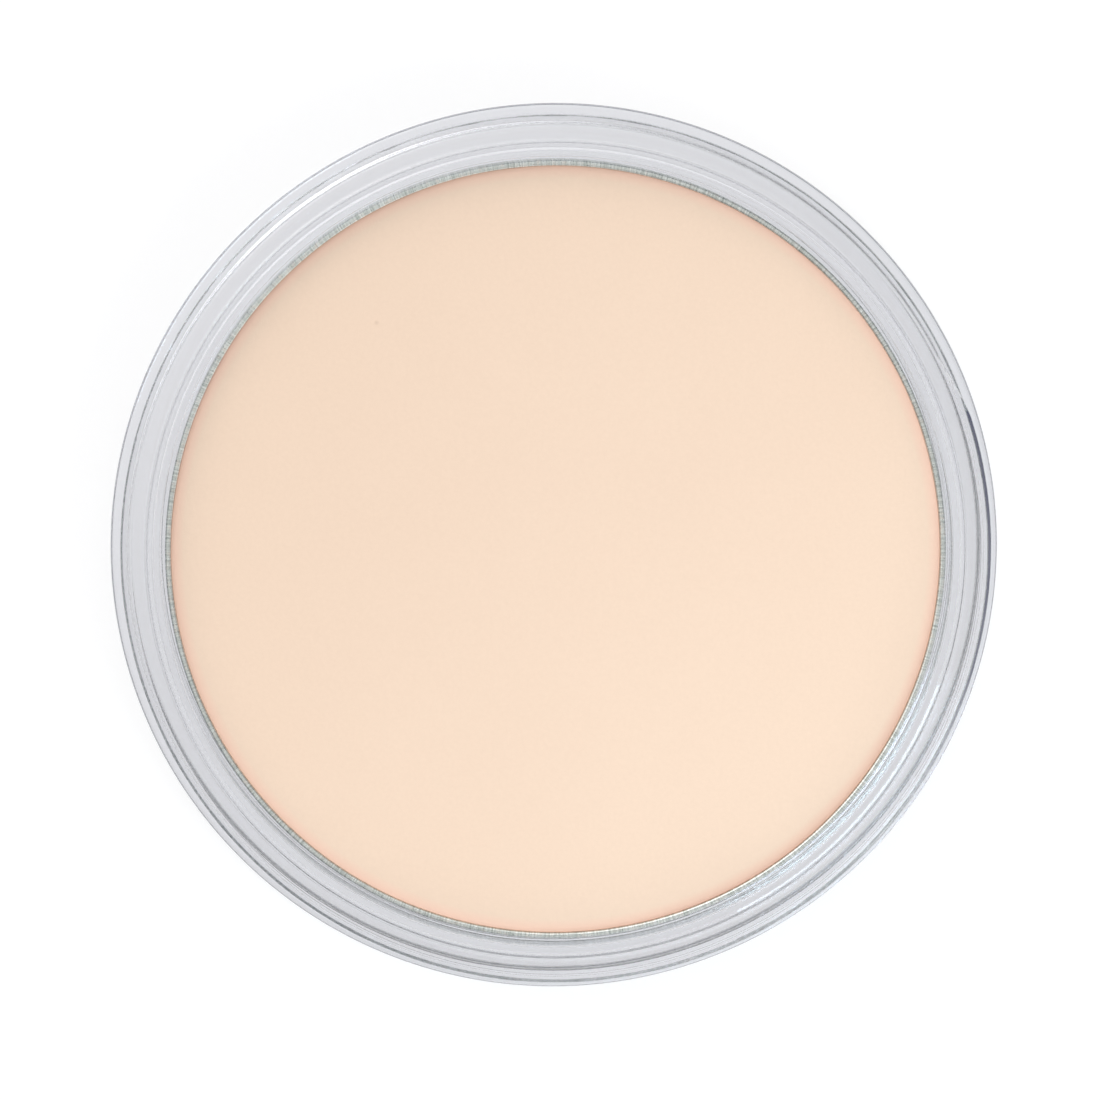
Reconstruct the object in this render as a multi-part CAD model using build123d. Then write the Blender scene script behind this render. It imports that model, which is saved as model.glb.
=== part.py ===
from build123d import *

# Round clear jar base with a screw neck, holding a lift-out metal pan of pressed colour.
# Millimetres, +Z up. The origin is on the axis, at the plane that the foot stands on.
# Seen from above, the thread starts at THREAD_START_DEG from +X and runs down clockwise.

import os
from math import cos, radians, sin

# Jar base, from the flange inwards
FLANGE_D = 62.0
FLANGE_LEDGE = 1.1        # from the neck wall out to the flange edge
FLANGE_THICKNESS = 1.2
FLANGE_EDGE_R = 0.3
NECK_WALL = 2.45           # at the foot of the neck
NECK_HEIGHT = 4.95         # from the flange top to the rim land
NECK_ROOT_R = 0.15
NECK_TAPER = 0.22          # how far the upper wall leans in up to the shoulder
TAPER_ABOVE_FLANGE = 2.2   # where it starts to lean
SKIRT_INSET = 1.55         # from the flange edge in to the skirt
SKIRT_FOOT_R = 0.55
FOOT_WIDTH = 2.15
FOOT_RECESS = 1.1          # how far the underside is lifted off the table
FLOOR_THICKNESS = 1.4
WELL_CORNER_R = 0.6

# Mouth of the neck: a narrow raised land, a hollow, a sloping shoulder
RIM_LAND_WIDTH = 0.49
RIM_EDGE_R = 0.12
RIM_HOLLOW_WIDTH = 0.55
RIM_HOLLOW_DEPTH = 0.75
RIM_HOLLOW_R = 0.45
SHOULDER_DROP = 0.15       # from the hollow to the outer edge of the shoulder
SHOULDER_EDGE_R = 0.25

# Screw thread on the neck
THREAD_PITCH = 2.0
THREAD_DEPTH = 0.38
THREAD_ROOT_WIDTH = 1.05
THREAD_CREST_WIDTH = 0.38
THREAD_START_DEG = 27.0
THREAD_SWEEP_DEG = 454.0
THREAD_RUNOUT_DEG = 9.0    # over which each end rises out of the wall
THREAD_ABOVE_FLANGE = 2.1  # height of the middle of the thread
THREAD_SECTION_STEP_DEG = 9.0
THREAD_EMBED = 0.3         # how far the sections reach into the wall

# Injection gate under the floor
GATE_DIMPLE_R = 1.6
GATE_DIMPLE_DEPTH = 0.35
GATE_STUB_R = 0.5
GATE_STUB_HEIGHT = 0.25

# Pan, pressed from sheet
PAN_GAP = 0.3             # all round, between the pan and the well wall
PAN_HEIGHT = 4.5
PAN_SHEET = 0.39
PAN_CORNER_R = 1.2
PAN_LIP_R = 0.12
PAN_BELOW_RIM = 1.85       # from the rim land down to the lip of the pan

# Stiffening bead, stamped up in the floor of the pan
BEAD_MIDDLE_R = 18.0
BEAD_WIDTH = 2.4
BEAD_TOP_WIDTH = 1.6
BEAD_HEIGHT = 0.25

# Pressed cake
CAKE_EDGE_DROP = 0.3       # from the lip of the pan down to the edge of the cake
CAKE_DISH = 0.3            # how much lower the middle is than the edge
CAKE_DISH_WIDTH = 13.0     # the edge zone that curves up

# Adhesive ring under the pan, and blank label under the floor
ADHESIVE_THICKNESS = 0.15
ADHESIVE_INNER_R = 8.0
ADHESIVE_OUTER_R = 15.0
LABEL_R = 21.0
LABEL_THICKNESS = 0.1

# Radii that follow
flange_r = FLANGE_D / 2
neck_r = flange_r - FLANGE_LEDGE
well_r = neck_r - NECK_WALL
skirt_r = flange_r - SKIRT_INSET
pan_r = well_r - PAN_GAP
cake_r = pan_r - PAN_SHEET

# Levels that follow
floor_top = FOOT_RECESS + FLOOR_THICKNESS
pan_bottom = floor_top + ADHESIVE_THICKNESS
pan_top = pan_bottom + PAN_HEIGHT
rim_top = pan_top + PAN_BELOW_RIM
flange_top = rim_top - NECK_HEIGHT
flange_bottom = flange_top - FLANGE_THICKNESS
cake_edge = pan_top - CAKE_EDGE_DROP
cake_middle = cake_edge - CAKE_DISH


def outline(corners):
    """Closed line in the XZ plane through (radius, height, corner radius) entries."""
    points = [(r, z) for r, z, _ in corners]
    return FilletPolyline(*points, radius=[fillet for _, _, fillet in corners], close=True)


def turned(line):
    """Solid of revolution about Z of a closed line drawn as (radius, height)."""
    return revolve(Plane.XZ * make_face(line), Axis.Z)


def ring(inner_r, outer_r, bottom, thickness):
    """Flat ring, or a disc where inner_r is 0."""
    disc = Cylinder(outer_r, thickness, align=(Align.CENTER, Align.CENTER, Align.MIN))
    if inner_r > 0:
        disc -= Cylinder(inner_r, thickness, align=(Align.CENTER, Align.CENTER, Align.MIN))
    return Pos(0, 0, bottom) * disc


def jar_body():
    """Floor, foot ring, skirt, flange and plain neck in one turned shape."""
    rim_land_r = well_r + RIM_LAND_WIDTH
    hollow_r = rim_land_r + RIM_HOLLOW_WIDTH
    hollow_z = rim_top - RIM_HOLLOW_DEPTH
    return turned(outline([
        (0, FOOT_RECESS, 0),
        (skirt_r - FOOT_WIDTH, FOOT_RECESS, 0),
        (skirt_r - FOOT_WIDTH, 0, 0),
        (skirt_r, 0, SKIRT_FOOT_R),
        (skirt_r, flange_bottom, 0),
        (flange_r, flange_bottom, FLANGE_EDGE_R),
        (flange_r, flange_top, FLANGE_EDGE_R),
        (neck_r, flange_top, NECK_ROOT_R),
        (neck_r, flange_top + TAPER_ABOVE_FLANGE, 0),
        (neck_r - NECK_TAPER, hollow_z - SHOULDER_DROP, SHOULDER_EDGE_R),
        (hollow_r, hollow_z, RIM_HOLLOW_R),
        (rim_land_r, rim_top, 0),
        (well_r, rim_top, RIM_EDGE_R),
        (well_r, floor_top, WELL_CORNER_R),
        (0, floor_top, 0),
    ]))


def thread_section(along_deg):
    """The thread's outline where it has run this many degrees from its start."""
    from_end = min(along_deg, THREAD_SWEEP_DEG - along_deg)
    rise = min(1.0, from_end / THREAD_RUNOUT_DEG)
    crest_r = neck_r - NECK_TAPER + (THREAD_DEPTH + NECK_TAPER) * rise
    root_r = neck_r - THREAD_EMBED
    middle = flange_top + THREAD_ABOVE_FLANGE
    middle += THREAD_PITCH * (THREAD_SWEEP_DEG / 2 - along_deg) / 360
    angle = radians(THREAD_START_DEG - along_deg)
    corners = [
        (root_r, -THREAD_ROOT_WIDTH / 2),
        (crest_r, -THREAD_CREST_WIDTH / 2),
        (crest_r, THREAD_CREST_WIDTH / 2),
        (root_r, THREAD_ROOT_WIDTH / 2),
    ]
    points = [(r * cos(angle), r * sin(angle), middle + z) for r, z in corners]
    return Wire.make_polygon(points, close=True)


def thread_span(start_deg, end_deg):
    """One loft of the thread between two places along it."""
    steps = max(1, round((end_deg - start_deg) / THREAD_SECTION_STEP_DEG))
    sections = [
        thread_section(start_deg + (end_deg - start_deg) * i / steps) for i in range(steps + 1)
    ]
    return Solid.make_loft(sections)


def thread():
    """Run-out, two spans of full thread, and run-out, each under a turn long."""
    cuts = [
        0,
        THREAD_RUNOUT_DEG,
        THREAD_SWEEP_DEG / 2,
        THREAD_SWEEP_DEG - THREAD_RUNOUT_DEG,
        THREAD_SWEEP_DEG,
    ]
    return [thread_span(start, end) for start, end in zip(cuts, cuts[1:])]


def jar_base():
    dimple = ring(GATE_STUB_R, GATE_DIMPLE_R, FOOT_RECESS, GATE_DIMPLE_DEPTH)
    over_stub = ring(0, GATE_STUB_R, FOOT_RECESS, GATE_DIMPLE_DEPTH - GATE_STUB_HEIGHT)
    return jar_body().fuse(*thread()) - dimple - over_stub


def bead(height):
    """Corners of the stamped bead on a floor at this height, from the axis outwards."""
    wide = BEAD_WIDTH / 2
    narrow = BEAD_TOP_WIDTH / 2
    return [
        (BEAD_MIDDLE_R - wide, height, 0),
        (BEAD_MIDDLE_R - narrow, height + BEAD_HEIGHT, 0),
        (BEAD_MIDDLE_R + narrow, height + BEAD_HEIGHT, 0),
        (BEAD_MIDDLE_R + wide, height, 0),
    ]


def pan():
    floor = pan_bottom + PAN_SHEET
    under = [(0, pan_bottom, 0)] + bead(pan_bottom)
    wall = [
        (pan_r, pan_bottom, PAN_CORNER_R),
        (pan_r, pan_top, PAN_LIP_R),
        (cake_r, pan_top, PAN_LIP_R),
        (cake_r, floor, PAN_CORNER_R - PAN_SHEET),
    ]
    inside = bead(floor)[::-1] + [(0, floor, 0)]
    return turned(outline(under + wall + inside))


def pressed_cake():
    floor = pan_bottom + PAN_SHEET
    flat_r = cake_r - CAKE_DISH_WIDTH
    corners = [(0, floor, 0)] + bead(floor)
    corners += [(cake_r, floor, PAN_CORNER_R - PAN_SHEET)]
    ends = [(cake_r, cake_edge)]
    points = [(r, z) for r, z, _ in corners] + ends
    fillets = [fillet for _, _, fillet in corners[1:]]
    bottom = FilletPolyline(*points, radius=fillets)
    dish = TangentArc((flat_r, cake_middle), (cake_r, cake_edge), tangent=(1, 0))
    middle = Line((flat_r, cake_middle), (0, cake_middle))
    axis = Line((0, cake_middle), (0, floor))
    return turned(bottom + dish + middle + axis)


def adhesive_ring():
    return ring(ADHESIVE_INNER_R, ADHESIVE_OUTER_R, floor_top, ADHESIVE_THICKNESS)


def underside_label():
    return ring(0, LABEL_R, FOOT_RECESS - LABEL_THICKNESS, LABEL_THICKNESS)


nodes = {
    "jar_base": jar_base,
    "pan": pan,
    "pressed_cake": pressed_cake,
    "adhesive_ring": adhesive_ring,
    "underside_label": underside_label,
}

os.makedirs("parts", exist_ok=True)
for name, make in nodes.items():
    export_step(make(), f"parts/{name}.step")
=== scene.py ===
import math

import bpy
import numpy as np
from mathutils import Matrix, Vector

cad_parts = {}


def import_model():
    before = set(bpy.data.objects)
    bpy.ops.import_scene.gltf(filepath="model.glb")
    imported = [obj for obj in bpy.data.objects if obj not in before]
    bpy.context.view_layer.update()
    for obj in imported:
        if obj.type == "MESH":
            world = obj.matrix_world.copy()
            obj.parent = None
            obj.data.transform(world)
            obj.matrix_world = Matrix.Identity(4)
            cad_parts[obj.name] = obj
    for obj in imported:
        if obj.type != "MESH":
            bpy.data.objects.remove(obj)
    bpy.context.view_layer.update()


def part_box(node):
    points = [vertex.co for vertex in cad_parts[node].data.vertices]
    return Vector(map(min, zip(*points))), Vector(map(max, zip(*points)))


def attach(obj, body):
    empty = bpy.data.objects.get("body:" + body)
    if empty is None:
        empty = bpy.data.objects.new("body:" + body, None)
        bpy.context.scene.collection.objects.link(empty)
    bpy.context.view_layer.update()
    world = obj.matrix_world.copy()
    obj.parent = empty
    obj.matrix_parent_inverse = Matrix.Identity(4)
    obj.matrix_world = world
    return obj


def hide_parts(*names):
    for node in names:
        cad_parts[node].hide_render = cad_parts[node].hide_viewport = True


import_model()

# Everything below is in metres. The pieces are turned about Z, which is the jar's axis.
MM = 0.001
TURN = 2 * math.pi
SEGMENTS = 640             # facets round each turned piece
ARC_STEP = math.radians(9)  # facets of a rounded corner
HOLD = 0.02 * MM           # loops this near a rounding keep flat faces flat

# Jar: sizes that its box doesn't give
FLANGE_LEDGE = 1.1 * MM
FLANGE_THICKNESS = 1.2 * MM
FLANGE_EDGE_R = 0.3 * MM
NECK_HEIGHT = 4.95 * MM
NECK_ROOT_R = 0.15 * MM
TAPER_ABOVE_FLANGE = 2.2 * MM
NECK_TAPER = 0.22 * MM
SKIRT_INSET = 1.55 * MM
SKIRT_FOOT_R = 0.55 * MM
FOOT_WIDTH = 2.15 * MM
RIM_LAND_WIDTH = 0.49 * MM
RIM_HOLLOW_WIDTH = 0.55 * MM
RIM_HOLLOW_DEPTH = 0.75 * MM
RIM_HOLLOW_R = 0.45 * MM
SHOULDER_DROP = 0.15 * MM
SHOULDER_EDGE_R = 0.25 * MM
RIM_EDGE_R = 0.12 * MM
WELL_CORNER_R = 0.6 * MM
SOFT_EDGE = 0.05 * MM      # rounding of an edge that is sharp in the moulding tool
GATE_DIMPLE_R = 1.6 * MM
GATE_DIMPLE_DEPTH = 0.35 * MM
GATE_STUB_R = 0.5 * MM
GATE_STUB_HEIGHT = 0.25 * MM

# Thread
THREAD_PITCH = 2.0 * MM
THREAD_DEPTH = 0.38 * MM
THREAD_ROOT_WIDTH = 1.05 * MM
THREAD_CREST_WIDTH = 0.38 * MM
THREAD_START = math.radians(27)
THREAD_SWEEP = math.radians(454)
THREAD_RUNOUT = math.radians(9)
THREAD_ABOVE_FLANGE = 2.1 * MM
THREAD_SOFTNESS = 0.25     # 0 for straight flanks, 1 for flanks that curve all the way
THREAD_ROW = 0.06 * MM     # height of the mesh rows that the thread is raised from

# Pan and colour
PAN_GAP = 0.3 * MM
PAN_SHEET = 0.39 * MM
PAN_CORNER_R = 1.2 * MM
PAN_LIP_R = 0.12 * MM
BEAD_MIDDLE_R = 18.0 * MM
BEAD_WIDTH = 2.4 * MM
BEAD_TOP_WIDTH = 1.6 * MM
BEAD_HEIGHT = 0.25 * MM
CAKE_DISH = 0.3 * MM
CAKE_DISH_WIDTH = 13.0 * MM
CAKE_INSET = 0.01 * MM     # keeps the colour's mesh just inside the pan's wall
DISH_INSET = 0.05 * MM     # the dish starts this far inside the colour's edge
CAKE_EDGE_R = 0.02 * MM
DISH_RINGS = 40
MIDDLE_RINGS = 30
PAINTED_EDGE_SHADE = 0.9 * MM      # width of the painted shade: a pinker ring round the colour's edge that stands in for the pink shadow of the rim

# Adhesive ring and label
TAPE_INNER_R = 8.0 * MM
TAPE_EDGE_R = 0.03 * MM
LABEL_EDGE_R = 0.02 * MM


def low_high(node):
    low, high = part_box(node)
    return Vector(low), Vector(high)


jar_low, jar_high = low_high("jar_base")
pan_low, pan_high = low_high("pan")
cake_low, cake_high = low_high("pressed_cake")
tape_low, tape_high = low_high("adhesive_ring")
label_low, label_high = low_high("underside_label")

FLANGE_R = jar_high.x
NECK_R = FLANGE_R - FLANGE_LEDGE
RIM_TOP = jar_high.z
FLANGE_TOP = RIM_TOP - NECK_HEIGHT
PAN_R = pan_high.x
WELL_R = PAN_R + PAN_GAP
CAKE_R = cake_high.x
FLOOR_TOP = tape_low.z
RECESS = label_high.z


# Turned meshes ---------------------------------------------------------------------------

def rounded(corners):
    """Points along (radius, height, rounding) corners, with arcs where a corner is rounded."""
    points = []
    last = len(corners) - 1
    for i, (r, z, rounding) in enumerate(corners):
        here = np.array([r, z])
        if i in (0, last) or rounding == 0:
            points.append(here)
            continue
        back = np.array(corners[i - 1][:2]) - here
        ahead = np.array(corners[i + 1][:2]) - here
        back /= np.linalg.norm(back)
        ahead /= np.linalg.norm(ahead)
        half = math.acos(np.clip(back @ ahead, -1, 1)) / 2
        reach = rounding / math.tan(half)
        centre = here + (back + ahead) / np.linalg.norm(back + ahead) * rounding / math.sin(half)
        start = here + back * reach - centre
        end = here + ahead * reach - centre
        turn = math.pi - 2 * half
        side = math.copysign(1, start[0] * end[1] - start[1] * end[0])
        steps = max(3, math.ceil(turn / ARC_STEP))
        points.append(here + back * (reach + HOLD))
        for k in range(steps + 1):
            a = side * turn * k / steps
            c, s = math.cos(a), math.sin(a)
            points.append(centre + [start[0] * c - start[1] * s, start[0] * s + start[1] * c])
        points.append(here + ahead * (reach + HOLD))
    return np.array(points)


def filled(points, low, high, step):
    """The same outline with points every step where it runs straight up between two heights."""
    out = [points[0]]
    for a, b in zip(points, points[1:]):
        if abs(b[0] - a[0]) < NECK_TAPER + HOLD and min(a[1], b[1]) < high and max(a[1], b[1]) > low:
            count = max(1, round(abs(b[1] - a[1]) / step))
            out += [a + (b - a) * k / count for k in range(1, count)]
        out.append(b)
    return np.array(out)


def turned(name, points, shape=None, segments=SEGMENTS):
    """Closed mesh of an outline turned about Z, from its foot on the axis to its top on the
    axis. shape may move the rings: it takes angle, radius and height arrays and returns radius and height
    arrays."""
    angle = np.arange(segments) * TURN / segments
    rings = points[1:-1]
    radius = np.repeat(rings[:, :1], segments, axis=1)
    height = np.repeat(rings[:, 1:], segments, axis=1)
    theta = np.repeat(angle[None, :], len(rings), axis=0)
    if shape:
        radius, height = shape(theta, radius, height)
    verts = np.stack([radius * np.cos(theta), radius * np.sin(theta), height], axis=2)
    verts = verts.reshape(-1, 3)
    foot, top = len(verts), len(verts) + 1
    verts = np.vstack([verts, [0, 0, points[0][1]], [0, 0, points[-1][1]]])
    at = np.arange(len(rings) * segments).reshape(len(rings), segments)
    ahead = np.roll(at, -1, axis=1)
    quads = np.stack([at[:-1], ahead[:-1], ahead[1:], at[1:]], axis=2).reshape(-1, 4)
    faces = quads.tolist()
    faces += [(foot, b, a) for a, b in zip(at[0].tolist(), ahead[0].tolist())]
    faces += [(top, a, b) for a, b in zip(at[-1].tolist(), ahead[-1].tolist())]
    return new_piece(name, verts, faces)


def new_piece(name, verts, faces):
    mesh = bpy.data.meshes.new(name)
    mesh.from_pydata(verts.tolist(), [], faces)
    mesh.polygons.foreach_set("use_smooth", [True] * len(mesh.polygons))
    mesh.update()
    piece = bpy.data.objects.new(name, mesh)
    bpy.context.scene.collection.objects.link(piece)
    return piece


# Node helper -----------------------------------------------------------------------------

class Nodes:
    """Short calls to build a material's node tree."""

    def __init__(self, name):
        self.material = bpy.data.materials.new(name)
        self.material.use_nodes = True
        self.tree = self.material.node_tree
        self.shader = self.tree.nodes["Principled BSDF"]

    def add(self, kind, **settings):
        node = self.tree.nodes.new(kind)
        for key, value in settings.items():
            if hasattr(node, key):
                setattr(node, key, value)
            else:
                node.inputs[key.replace("_", " ")].default_value = value
        return node

    def link(self, source, target):
        self.tree.links.new(source, target)

    def place(self):
        return self.add("ShaderNodeTexCoord").outputs["Object"]

    def noise(self, vector, scale, detail=3.0, roughness=0.5):
        node = self.add("ShaderNodeTexNoise", Scale=scale, Detail=detail, Roughness=roughness)
        self.link(vector, node.inputs["Vector"])
        return node.outputs["Fac"]

    def stretched(self, vector, scale, turn=0.0):
        node = self.add("ShaderNodeMapping")
        node.inputs["Scale"].default_value = scale
        node.inputs["Rotation"].default_value = (0, 0, turn)
        self.link(vector, node.inputs["Vector"])
        return node.outputs["Vector"]

    def math(self, operation, *values):
        node = self.add("ShaderNodeMath", operation=operation)
        for socket, value in zip(node.inputs, values):
            if isinstance(value, (int, float)):
                socket.default_value = value
            else:
                self.link(value, socket)
        return node.outputs[0]

    def spread(self, value, low, high, to_low=0.0, to_high=1.0):
        node = self.add("ShaderNodeMapRange", clamp=True)
        self.link(value, node.inputs["Value"])
        node.inputs["From Min"].default_value = low
        node.inputs["From Max"].default_value = high
        node.inputs["To Min"].default_value = to_low
        node.inputs["To Max"].default_value = to_high
        return node.outputs["Result"]

    def mix(self, factor, first, second):
        node = self.add("ShaderNodeMix", data_type="RGBA")
        if isinstance(factor, (int, float)):
            node.inputs[0].default_value = factor
        else:
            self.link(factor, node.inputs[0])
        for socket, value in ((node.inputs[6], first), (node.inputs[7], second)):
            if isinstance(value, tuple):
                socket.default_value = (*value, 1)
            else:
                self.link(value, socket)
        return node.outputs[2]

    def bump(self, height, distance, strength=1.0, under=None):
        node = self.add("ShaderNodeBump")
        node.inputs["Strength"].default_value = strength
        node.inputs["Distance"].default_value = distance
        self.link(height, node.inputs["Height"])
        if under is not None:
            self.link(under, node.inputs["Normal"])
        return node.outputs["Normal"]

    def set(self, **values):
        for key, value in values.items():
            socket = self.shader.inputs[key.replace("_", " ")]
            if isinstance(value, bpy.types.NodeSocket):
                self.link(value, socket)
            elif isinstance(value, tuple):
                socket.default_value = (*value, 1)
            else:
                socket.default_value = value


# Materials -------------------------------------------------------------------------------

def clear_plastic():
    """Polished clear polystyrene: faint handling scratches and a slightly uneven surface."""
    n = Nodes("clear_plastic")
    place = n.place()
    waves = n.noise(place, 220, 1)
    scratch_a = n.noise(n.stretched(place, (300, 9000, 300), 0.5), 1.0, 1)
    scratch_b = n.noise(n.stretched(place, (8000, 260, 400), 0.3), 1.0, 1)
    scratches = n.math("MAXIMUM", n.spread(scratch_a, 0.76, 0.8), n.spread(scratch_b, 0.76, 0.8))
    rough = n.math("MULTIPLY_ADD", scratches, 0.06, 0.004)
    # The base colour's grey is painted shade: it darkens the floor seen through the plastic, standing in
    # for the shade beneath the jar; its faint blue-lilac cast is the plastic's own tint
    n.set(Base_Color=(0.785, 0.79, 0.82), Transmission_Weight=1.0, IOR=1.59)
    n.set(Roughness=rough, Normal=n.bump(waves, 0.0005 * MM, 0.5))
    return n.material


def pan_metal():
    """Drawn aluminium sheet: fine lines round the wall and burrs across the cut lip."""
    n = Nodes("pan_metal")
    place = n.place()
    split = n.add("ShaderNodeSeparateXYZ")
    n.link(place, split.inputs[0])
    flat = n.add("ShaderNodeCombineXYZ")
    n.link(split.outputs[0], flat.inputs[0])
    n.link(split.outputs[1], flat.inputs[1])
    unit = n.add("ShaderNodeVectorMath", operation="NORMALIZE")
    n.link(flat.outputs[0], unit.inputs[0])
    burrs = n.noise(unit.outputs[0], 190, 4, 0.7)
    grain = n.noise(place, 9000, 3, 0.6)
    dust = n.spread(n.noise(place, 2600, 4, 0.7), 0.5, 0.68)
    lines = n.noise(n.stretched(place, (60, 60, 22000)), 1.0, 2)
    colour = n.mix(n.spread(burrs, 0.35, 0.65), (0.46, 0.5, 0.46), (0.86, 0.89, 0.85))
    colour = n.mix(n.math("MULTIPLY", dust, 0.35), colour, (0.93, 0.8, 0.7))
    rough = n.spread(grain, 0.3, 0.7, 0.22, 0.42)
    normal = n.bump(burrs, 0.02 * MM, 0.5)
    normal = n.bump(lines, 0.004 * MM, 0.4, normal)
    n.set(Base_Color=colour, Metallic=1.0, Roughness=rough, Normal=normal)
    return n.material


def pressed_colour():
    """Pressed powder: a matt, very fine grain with short wiping streaks and a few pits."""
    n = Nodes("pressed_colour")
    place = n.place()
    grain = n.noise(place, 3600, 4, 0.7)
    streak = n.noise(n.stretched(place, (3600, 1100, 2000), -0.25), 1.0, 3, 0.6)
    cloud = n.noise(place, 70, 3, 0.5)
    spots = n.add("ShaderNodeTexVoronoi", Scale=230.0)
    n.link(place, spots.inputs["Vector"])
    pit = n.spread(spots.outputs["Distance"], 0.03, 0.06, 1.0, 0.0)
    some = n.spread(n.noise(place, 160, 1), 0.6, 0.64)
    pit = n.math("MULTIPLY", pit, some)
    colour = n.mix(n.spread(cloud, 0.3, 0.7), (0.818, 0.615, 0.466), (0.831, 0.628, 0.477))
    dark_grain = n.math("MULTIPLY", n.spread(grain, 0.3, 0.7), 0.1)
    speck = n.math("MAXIMUM", n.math("MULTIPLY", pit, 0.5), dark_grain)
    colour = n.mix(speck, colour, (0.6, 0.42, 0.3))
    radius = n.add("ShaderNodeVectorMath", operation="LENGTH")
    n.link(n.stretched(place, (1, 1, 0)), radius.inputs[0])
    # Painted shade: the colour turns pinker and darker towards its edge, standing in for the shadow that
    # the rim casts there
    painted_edge_shade = n.spread(radius.outputs["Value"], CAKE_R - PAINTED_EDGE_SHADE, CAKE_R - 0.1 * PAINTED_EDGE_SHADE)
    colour = n.mix(n.math("MULTIPLY", painted_edge_shade, 0.7), colour, (0.88, 0.54, 0.415))
    height = n.math("MULTIPLY_ADD", streak, 0.5, grain)
    normal = n.bump(height, 0.02 * MM, 0.75)
    n.set(Base_Color=colour, Roughness=0.92, Normal=normal, Specular_IOR_Level=0.15)
    return n.material


def adhesive():
    n = Nodes("adhesive")
    place = n.place()
    wrinkle = n.noise(place, 900, 3)
    colour = n.mix(wrinkle, (0.85, 0.83, 0.76), (0.93, 0.92, 0.86))
    n.set(Base_Color=colour, Roughness=n.spread(wrinkle, 0.3, 0.7, 0.3, 0.5))
    n.set(Normal=n.bump(wrinkle, 0.01 * MM, 0.5))
    return n.material


def label_paper():
    n = Nodes("label_paper")
    place = n.place()
    fibre = n.noise(n.stretched(place, (2500, 5200, 2500), 0.4), 1.0, 4, 0.6)
    colour = n.mix(fibre, (0.9, 0.9, 0.89), (0.95, 0.95, 0.945))
    n.set(Base_Color=colour, Roughness=n.spread(fibre, 0.3, 0.7, 0.55, 0.7))
    n.set(Normal=n.bump(fibre, 0.006 * MM, 0.5))
    return n.material


# Pieces ----------------------------------------------------------------------------------

def thread_rise(theta, height):
    """How far the thread has risen at each angle and height, from 0 to 1 at its crest."""
    middle = FLANGE_TOP + THREAD_ABOVE_FLANGE
    most = np.zeros_like(height)
    slope = (THREAD_ROOT_WIDTH - THREAD_CREST_WIDTH) / 2
    for lap in range(-1, 3):
        along = np.mod(THREAD_START - theta, TURN) + lap * TURN
        centre = middle + THREAD_PITCH * (THREAD_SWEEP / 2 - along) / TURN
        away = np.abs(height - centre) - THREAD_CREST_WIDTH / 2
        flank = np.clip(1 - away / slope, 0, 1)
        from_end = np.minimum(along, THREAD_SWEEP - along)
        rise = np.clip(from_end / THREAD_RUNOUT, 0, 1)
        most = np.maximum(most, flank * rise)
    soft = 3 * most ** 2 - 2 * most ** 3
    return most + THREAD_SOFTNESS * (soft - most)


def raise_thread(theta, radius, height):
    above = height > FLANGE_TOP + NECK_ROOT_R
    on_wall = above & (radius > NECK_R - NECK_TAPER) & (radius < NECK_R + 0.1 * HOLD)
    rise = np.where(on_wall, thread_rise(theta, height), 0)
    return radius + (NECK_R + THREAD_DEPTH - radius) * rise, height


def jar_base():
    hollow_r = WELL_R + RIM_LAND_WIDTH + RIM_HOLLOW_WIDTH
    hollow_z = RIM_TOP - RIM_HOLLOW_DEPTH
    skirt_r = FLANGE_R - SKIRT_INSET
    flange_bottom = FLANGE_TOP - FLANGE_THICKNESS
    stub_z = RECESS + GATE_DIMPLE_DEPTH - GATE_STUB_HEIGHT
    outline = rounded([
        (0, stub_z, 0),
        (GATE_STUB_R, stub_z, SOFT_EDGE),
        (GATE_STUB_R, RECESS + GATE_DIMPLE_DEPTH, SOFT_EDGE),
        (GATE_DIMPLE_R, RECESS + GATE_DIMPLE_DEPTH, SOFT_EDGE),
        (GATE_DIMPLE_R, RECESS, SOFT_EDGE),
        (skirt_r - FOOT_WIDTH, RECESS, SOFT_EDGE * 3),
        (skirt_r - FOOT_WIDTH, 0, SOFT_EDGE),
        (skirt_r, 0, SKIRT_FOOT_R),
        (skirt_r, flange_bottom, SOFT_EDGE),
        (FLANGE_R, flange_bottom, FLANGE_EDGE_R),
        (FLANGE_R, FLANGE_TOP, FLANGE_EDGE_R),
        (NECK_R, FLANGE_TOP, NECK_ROOT_R),
        (NECK_R, FLANGE_TOP + TAPER_ABOVE_FLANGE, 0),
        (NECK_R - NECK_TAPER, hollow_z - SHOULDER_DROP, SHOULDER_EDGE_R),
        (hollow_r, hollow_z, RIM_HOLLOW_R),
        (WELL_R + RIM_LAND_WIDTH, RIM_TOP, 0.4 * SOFT_EDGE),
        (WELL_R, RIM_TOP, RIM_EDGE_R),
        (WELL_R, FLOOR_TOP, WELL_CORNER_R),
        (0, FLOOR_TOP, 0),
    ])
    outline = filled(outline, FLANGE_TOP, RIM_TOP, THREAD_ROW)
    return turned("clear_jar_base", outline, raise_thread)


def bead(height):
    return [
        (BEAD_MIDDLE_R - BEAD_WIDTH / 2, height, 4 * SOFT_EDGE),
        (BEAD_MIDDLE_R - BEAD_TOP_WIDTH / 2, height + BEAD_HEIGHT, 4 * SOFT_EDGE),
        (BEAD_MIDDLE_R + BEAD_TOP_WIDTH / 2, height + BEAD_HEIGHT, 4 * SOFT_EDGE),
        (BEAD_MIDDLE_R + BEAD_WIDTH / 2, height, 4 * SOFT_EDGE),
    ]


def pan():
    low, high = pan_low.z, pan_high.z
    floor = low + PAN_SHEET
    outline = rounded(
        [(0, low, 0)] + bead(low)
        + [(PAN_R, low, PAN_CORNER_R), (PAN_R, high, PAN_LIP_R), (CAKE_R, high, PAN_LIP_R)]
        + [(CAKE_R, floor, PAN_CORNER_R - PAN_SHEET)] + bead(floor)[::-1] + [(0, floor, 0)]
    )
    return turned("metal_pan", outline)


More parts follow.
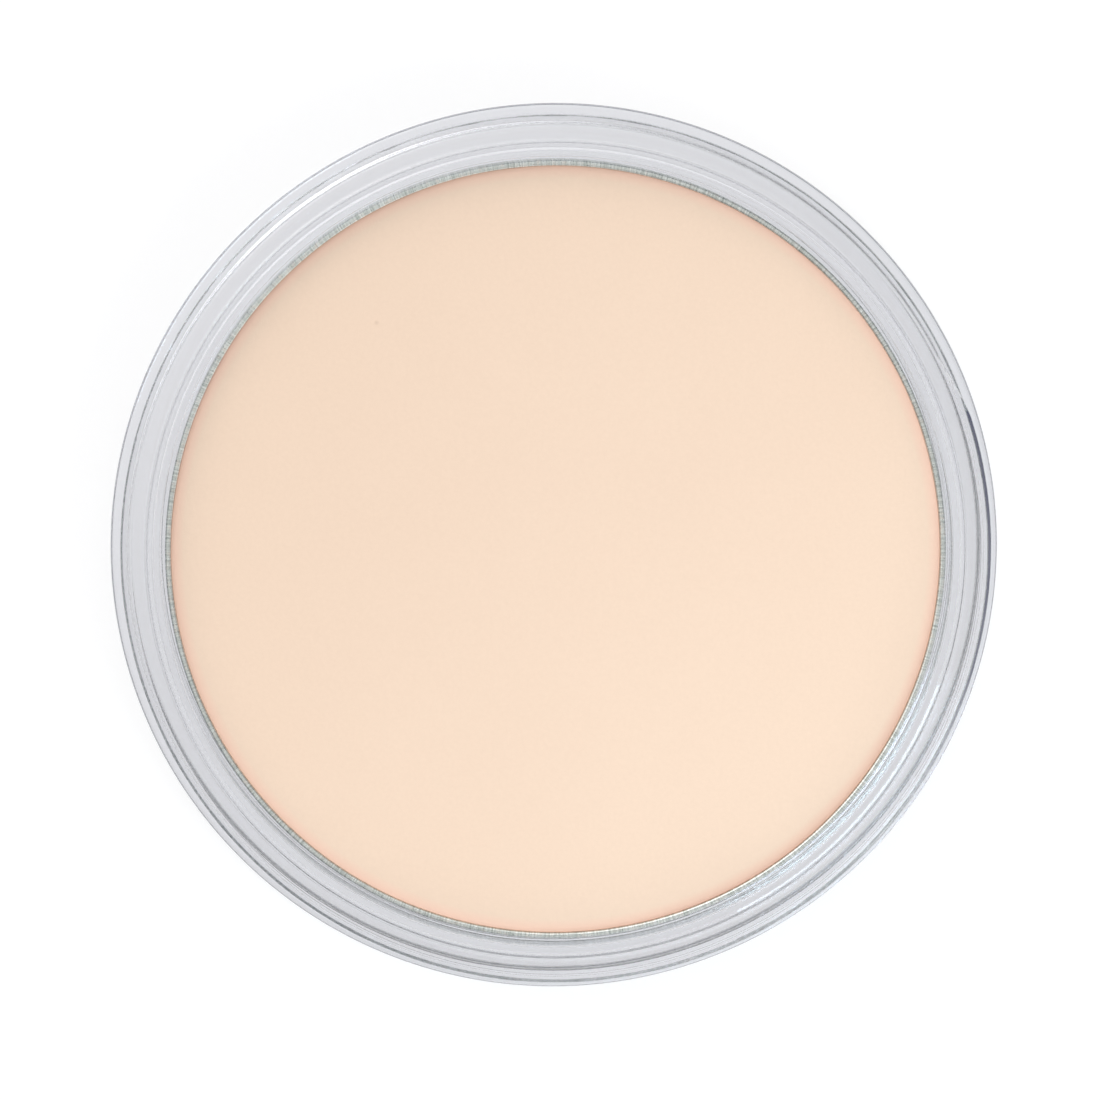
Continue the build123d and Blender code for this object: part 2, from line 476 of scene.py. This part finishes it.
def cake():
    low, high = cake_low.z, cake_high.z
    middle = high - CAKE_DISH
    flat_r = CAKE_R - CAKE_DISH_WIDTH
    edge_r = CAKE_R - CAKE_INSET
    bottom = rounded(
        [(0, low, 0)] + bead(low)
        + [(edge_r, low, PAN_CORNER_R - PAN_SHEET), (edge_r, high - CAKE_EDGE_R, CAKE_EDGE_R)]
        + [(flat_r, high - CAKE_EDGE_R, 0)]
    )
    top_r = edge_r - DISH_INSET
    dish = [top_r - (top_r - flat_r) * k / DISH_RINGS for k in range(DISH_RINGS + 1)]
    top = [(r, middle + CAKE_DISH * ((r - flat_r) / (CAKE_R - flat_r)) ** 2) for r in dish]
    top += [(flat_r * k / MIDDLE_RINGS, middle) for k in range(MIDDLE_RINGS - 1, -1, -1)]
    outline = np.vstack([bottom[:-2], top])
    return turned("pressed_cake_surface", outline)


def flat_ring(name, low, high, inner_r, outer_r, edge):
    """Thin ring or disc with softened edges."""
    if inner_r > 0:
        corners = [
            (inner_r, high, edge), (inner_r, low, edge), (outer_r, low, edge), (outer_r, high, edge),
        ]
        start = ((inner_r + outer_r) / 2, high, 0)
        return closed_ring(name, rounded([start] + corners + [start])[:-1])
    return turned(name, rounded([(0, low, 0), (outer_r, low, edge), (outer_r, high, edge), (0, high, 0)]))


def closed_ring(name, points, segments=SEGMENTS // 2):
    angle = np.arange(segments) * TURN / segments
    radius = np.repeat(points[:, :1], segments, axis=1)
    height = np.repeat(points[:, 1:], segments, axis=1)
    verts = np.stack([radius * np.cos(angle), radius * np.sin(angle), height], axis=2).reshape(-1, 3)
    at = np.arange(len(points) * segments).reshape(len(points), segments)
    ahead = np.roll(at, -1, axis=1)
    up, up_ahead = np.roll(at, -1, axis=0), np.roll(ahead, -1, axis=0)
    faces = np.stack([at, ahead, up_ahead, up], axis=2).reshape(-1, 4).tolist()
    return new_piece(name, verts, faces)


def finish_piece(piece, body, node, material):
    piece.data.materials.append(material)
    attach(piece, body)
    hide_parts(node)


finish_piece(jar_base(), "jar", "jar_base", clear_plastic())
finish_piece(pan(), "pan", "pan", pan_metal())
finish_piece(cake(), "pan", "pressed_cake", pressed_colour())
tape = flat_ring("tape_ring", tape_low.z, tape_high.z, TAPE_INNER_R, tape_high.x, TAPE_EDGE_R)
finish_piece(tape, "jar", "adhesive_ring", adhesive())
label = flat_ring("blank_label", label_low.z, label_high.z, 0, label_high.x, LABEL_EDGE_R)
finish_piece(label, "jar", "underside_label", label_paper())


# Stage -----------------------------------------------------------------------------------

FLOOR_HALF = 3.0
FLOOR_BELOW = 0.02 * MM    # keeps the floor just under the foot
FLOOR_GLOW = 0.79

# The room is darkest up to ROOM_FROM above the horizon and brightest from ROOM_TO upwards
ROOM_FROM = math.radians(8)
ROOM_TO = math.radians(35)
ROOM_LOW = (0.10, 0.105, 0.17)
ROOM_HIGH = (0.33, 0.33, 0.335)
# Its soft lights: the way to it, where it fades out and where it is full (degrees), and how bright
SOFT_LIGHTS = [
    ((-0.45, 0.7, 1.0), 55, 12, 1.4),
    ((-0.45, 0.6, 1.0), 18, 6, 1.6),
    ((0.5, -0.6, 0.15), 60, 20, 1.1),
]

NEAR_LIGHT_AT = (0.06, -0.06, 0.125)
NEAR_LIGHT_SIZE = 0.06
NEAR_LIGHT_POWER = 0.075   # watts
NEAR_LIGHT_COLOUR = (0.8, 1.0, 1.15)


def floor():
    """White table, lit a little from below, which keeps the clear plastic bright."""
    n = Nodes("floor_white")
    tone = n.noise(n.place(), 3, 2)
    n.set(Base_Color=n.mix(tone, (0.24, 0.24, 0.243), (0.25, 0.25, 0.252)), Roughness=0.9)
    n.set(Specular_IOR_Level=0.1, Emission_Color=(1, 1, 1), Emission_Strength=FLOOR_GLOW)
    mesh = bpy.data.meshes.new("floor")
    corners = [(-1, -1), (1, -1), (1, 1), (-1, 1)]
    mesh.from_pydata([(x * FLOOR_HALF, y * FLOOR_HALF, 0) for x, y in corners], [], [(0, 1, 2, 3)])
    plane = bpy.data.objects.new("floor", mesh)
    plane.location.z = -FLOOR_BELOW
    bpy.context.scene.collection.objects.link(plane)
    mesh.materials.append(n.material)


def world():
    """A room that darkens to the horizon, with soft light from the upper left and a low
    glow from the lower right."""
    shade = bpy.data.worlds.new("studio")
    shade.use_nodes = True
    tree = shade.node_tree
    back = tree.nodes["Background"]
    way = tree.nodes.new("ShaderNodeTexCoord").outputs["Generated"]
    height = tree.nodes.new("ShaderNodeSeparateXYZ")
    tree.links.new(way, height.inputs[0])
    room = tree.nodes.new("ShaderNodeMapRange")
    room.data_type = "FLOAT_VECTOR"
    room.interpolation_type = "SMOOTHSTEP"
    sweep = tree.nodes.new("ShaderNodeCombineXYZ")
    for socket in sweep.inputs:
        tree.links.new(height.outputs[2], socket)
    tree.links.new(sweep.outputs[0], room.inputs["Vector"])
    ends = ((math.sin(ROOM_FROM),) * 3, (math.sin(ROOM_TO),) * 3, ROOM_LOW, ROOM_HIGH)
    vector_ends = room.inputs[7:11]  # From Min, From Max, To Min and To Max
    for socket, value in zip(vector_ends, ends):
        socket.default_value = value
    glow = room.outputs["Vector"]
    for direction, edge, core, strength in SOFT_LIGHTS:
        dot = tree.nodes.new("ShaderNodeVectorMath")
        dot.operation = "DOT_PRODUCT"
        tree.links.new(way, dot.inputs[0])
        dot.inputs[1].default_value = Vector(direction).normalized()
        lobe = tree.nodes.new("ShaderNodeMapRange")
        lobe.interpolation_type = "SMOOTHSTEP"
        lobe.inputs["From Min"].default_value = math.cos(math.radians(edge))
        lobe.inputs["From Max"].default_value = math.cos(math.radians(core))
        lobe.inputs["To Max"].default_value = strength
        tree.links.new(dot.outputs["Value"], lobe.inputs["Value"])
        add = tree.nodes.new("ShaderNodeVectorMath")
        tree.links.new(glow, add.inputs[0])
        tree.links.new(lobe.outputs["Result"], add.inputs[1])
        glow = add.outputs["Vector"]
    tree.links.new(glow, back.inputs["Color"])
    back.inputs["Strength"].default_value = 1.0
    bpy.context.scene.world = shade


def near_light():
    """Small soft box close to the lower right, so that side of the colour is a little brighter."""
    data = bpy.data.lights.new("near_light", "AREA")
    data.shape = "DISK"
    data.size = NEAR_LIGHT_SIZE
    data.energy = NEAR_LIGHT_POWER
    data.color = NEAR_LIGHT_COLOUR
    lamp = bpy.data.objects.new("near_light", data)
    lamp.location = NEAR_LIGHT_AT
    lamp.rotation_euler = Vector(NEAR_LIGHT_AT).to_track_quat("Z", "Y").to_euler()
    lamp.visible_camera = False
    lamp.visible_glossy = False
    bpy.context.scene.collection.objects.link(lamp)


# Camera ----------------------------------------------------------------------------------

LENS = 250.0
SENSOR = 36.0
FRAME_WIDTH = 76.87 * MM           # what the frame takes in at the flange
TILT = math.radians(5.3)
LEAN = Vector((-0.35, 0.937, 0))   # the camera leans back this way from straight above
AIM = Vector((-0.33, -0.2, 0)) * MM


def camera():
    data = bpy.data.cameras.new("camera")
    data.lens = LENS
    data.sensor_width = SENSOR
    back = (LEAN.normalized() * math.sin(TILT) + Vector((0, 0, math.cos(TILT)))).normalized()
    up = Vector((0, 1, 0))
    up = (up - back * up.dot(back)).normalized()
    right = up.cross(back)
    aim = Vector((0, 0, FLANGE_TOP)) + AIM
    cam = bpy.data.objects.new("camera", data)
    turn = Matrix((right, up, back)).transposed().to_4x4()
    cam.matrix_world = Matrix.Translation(aim + back * FRAME_WIDTH * LENS / SENSOR) @ turn
    data.clip_start, data.clip_end = 0.01, 10
    bpy.context.scene.collection.objects.link(cam)
    bpy.context.scene.camera = cam


floor()
world()
near_light()
camera()
bpy.context.scene.view_settings.view_transform = "Standard"
# Light runs round inside clear plastic, so its paths need more turns than usual
bpy.context.scene.cycles.max_bounces = 24
bpy.context.scene.cycles.glossy_bounces = 16
bpy.context.scene.cycles.transmission_bounces = 24
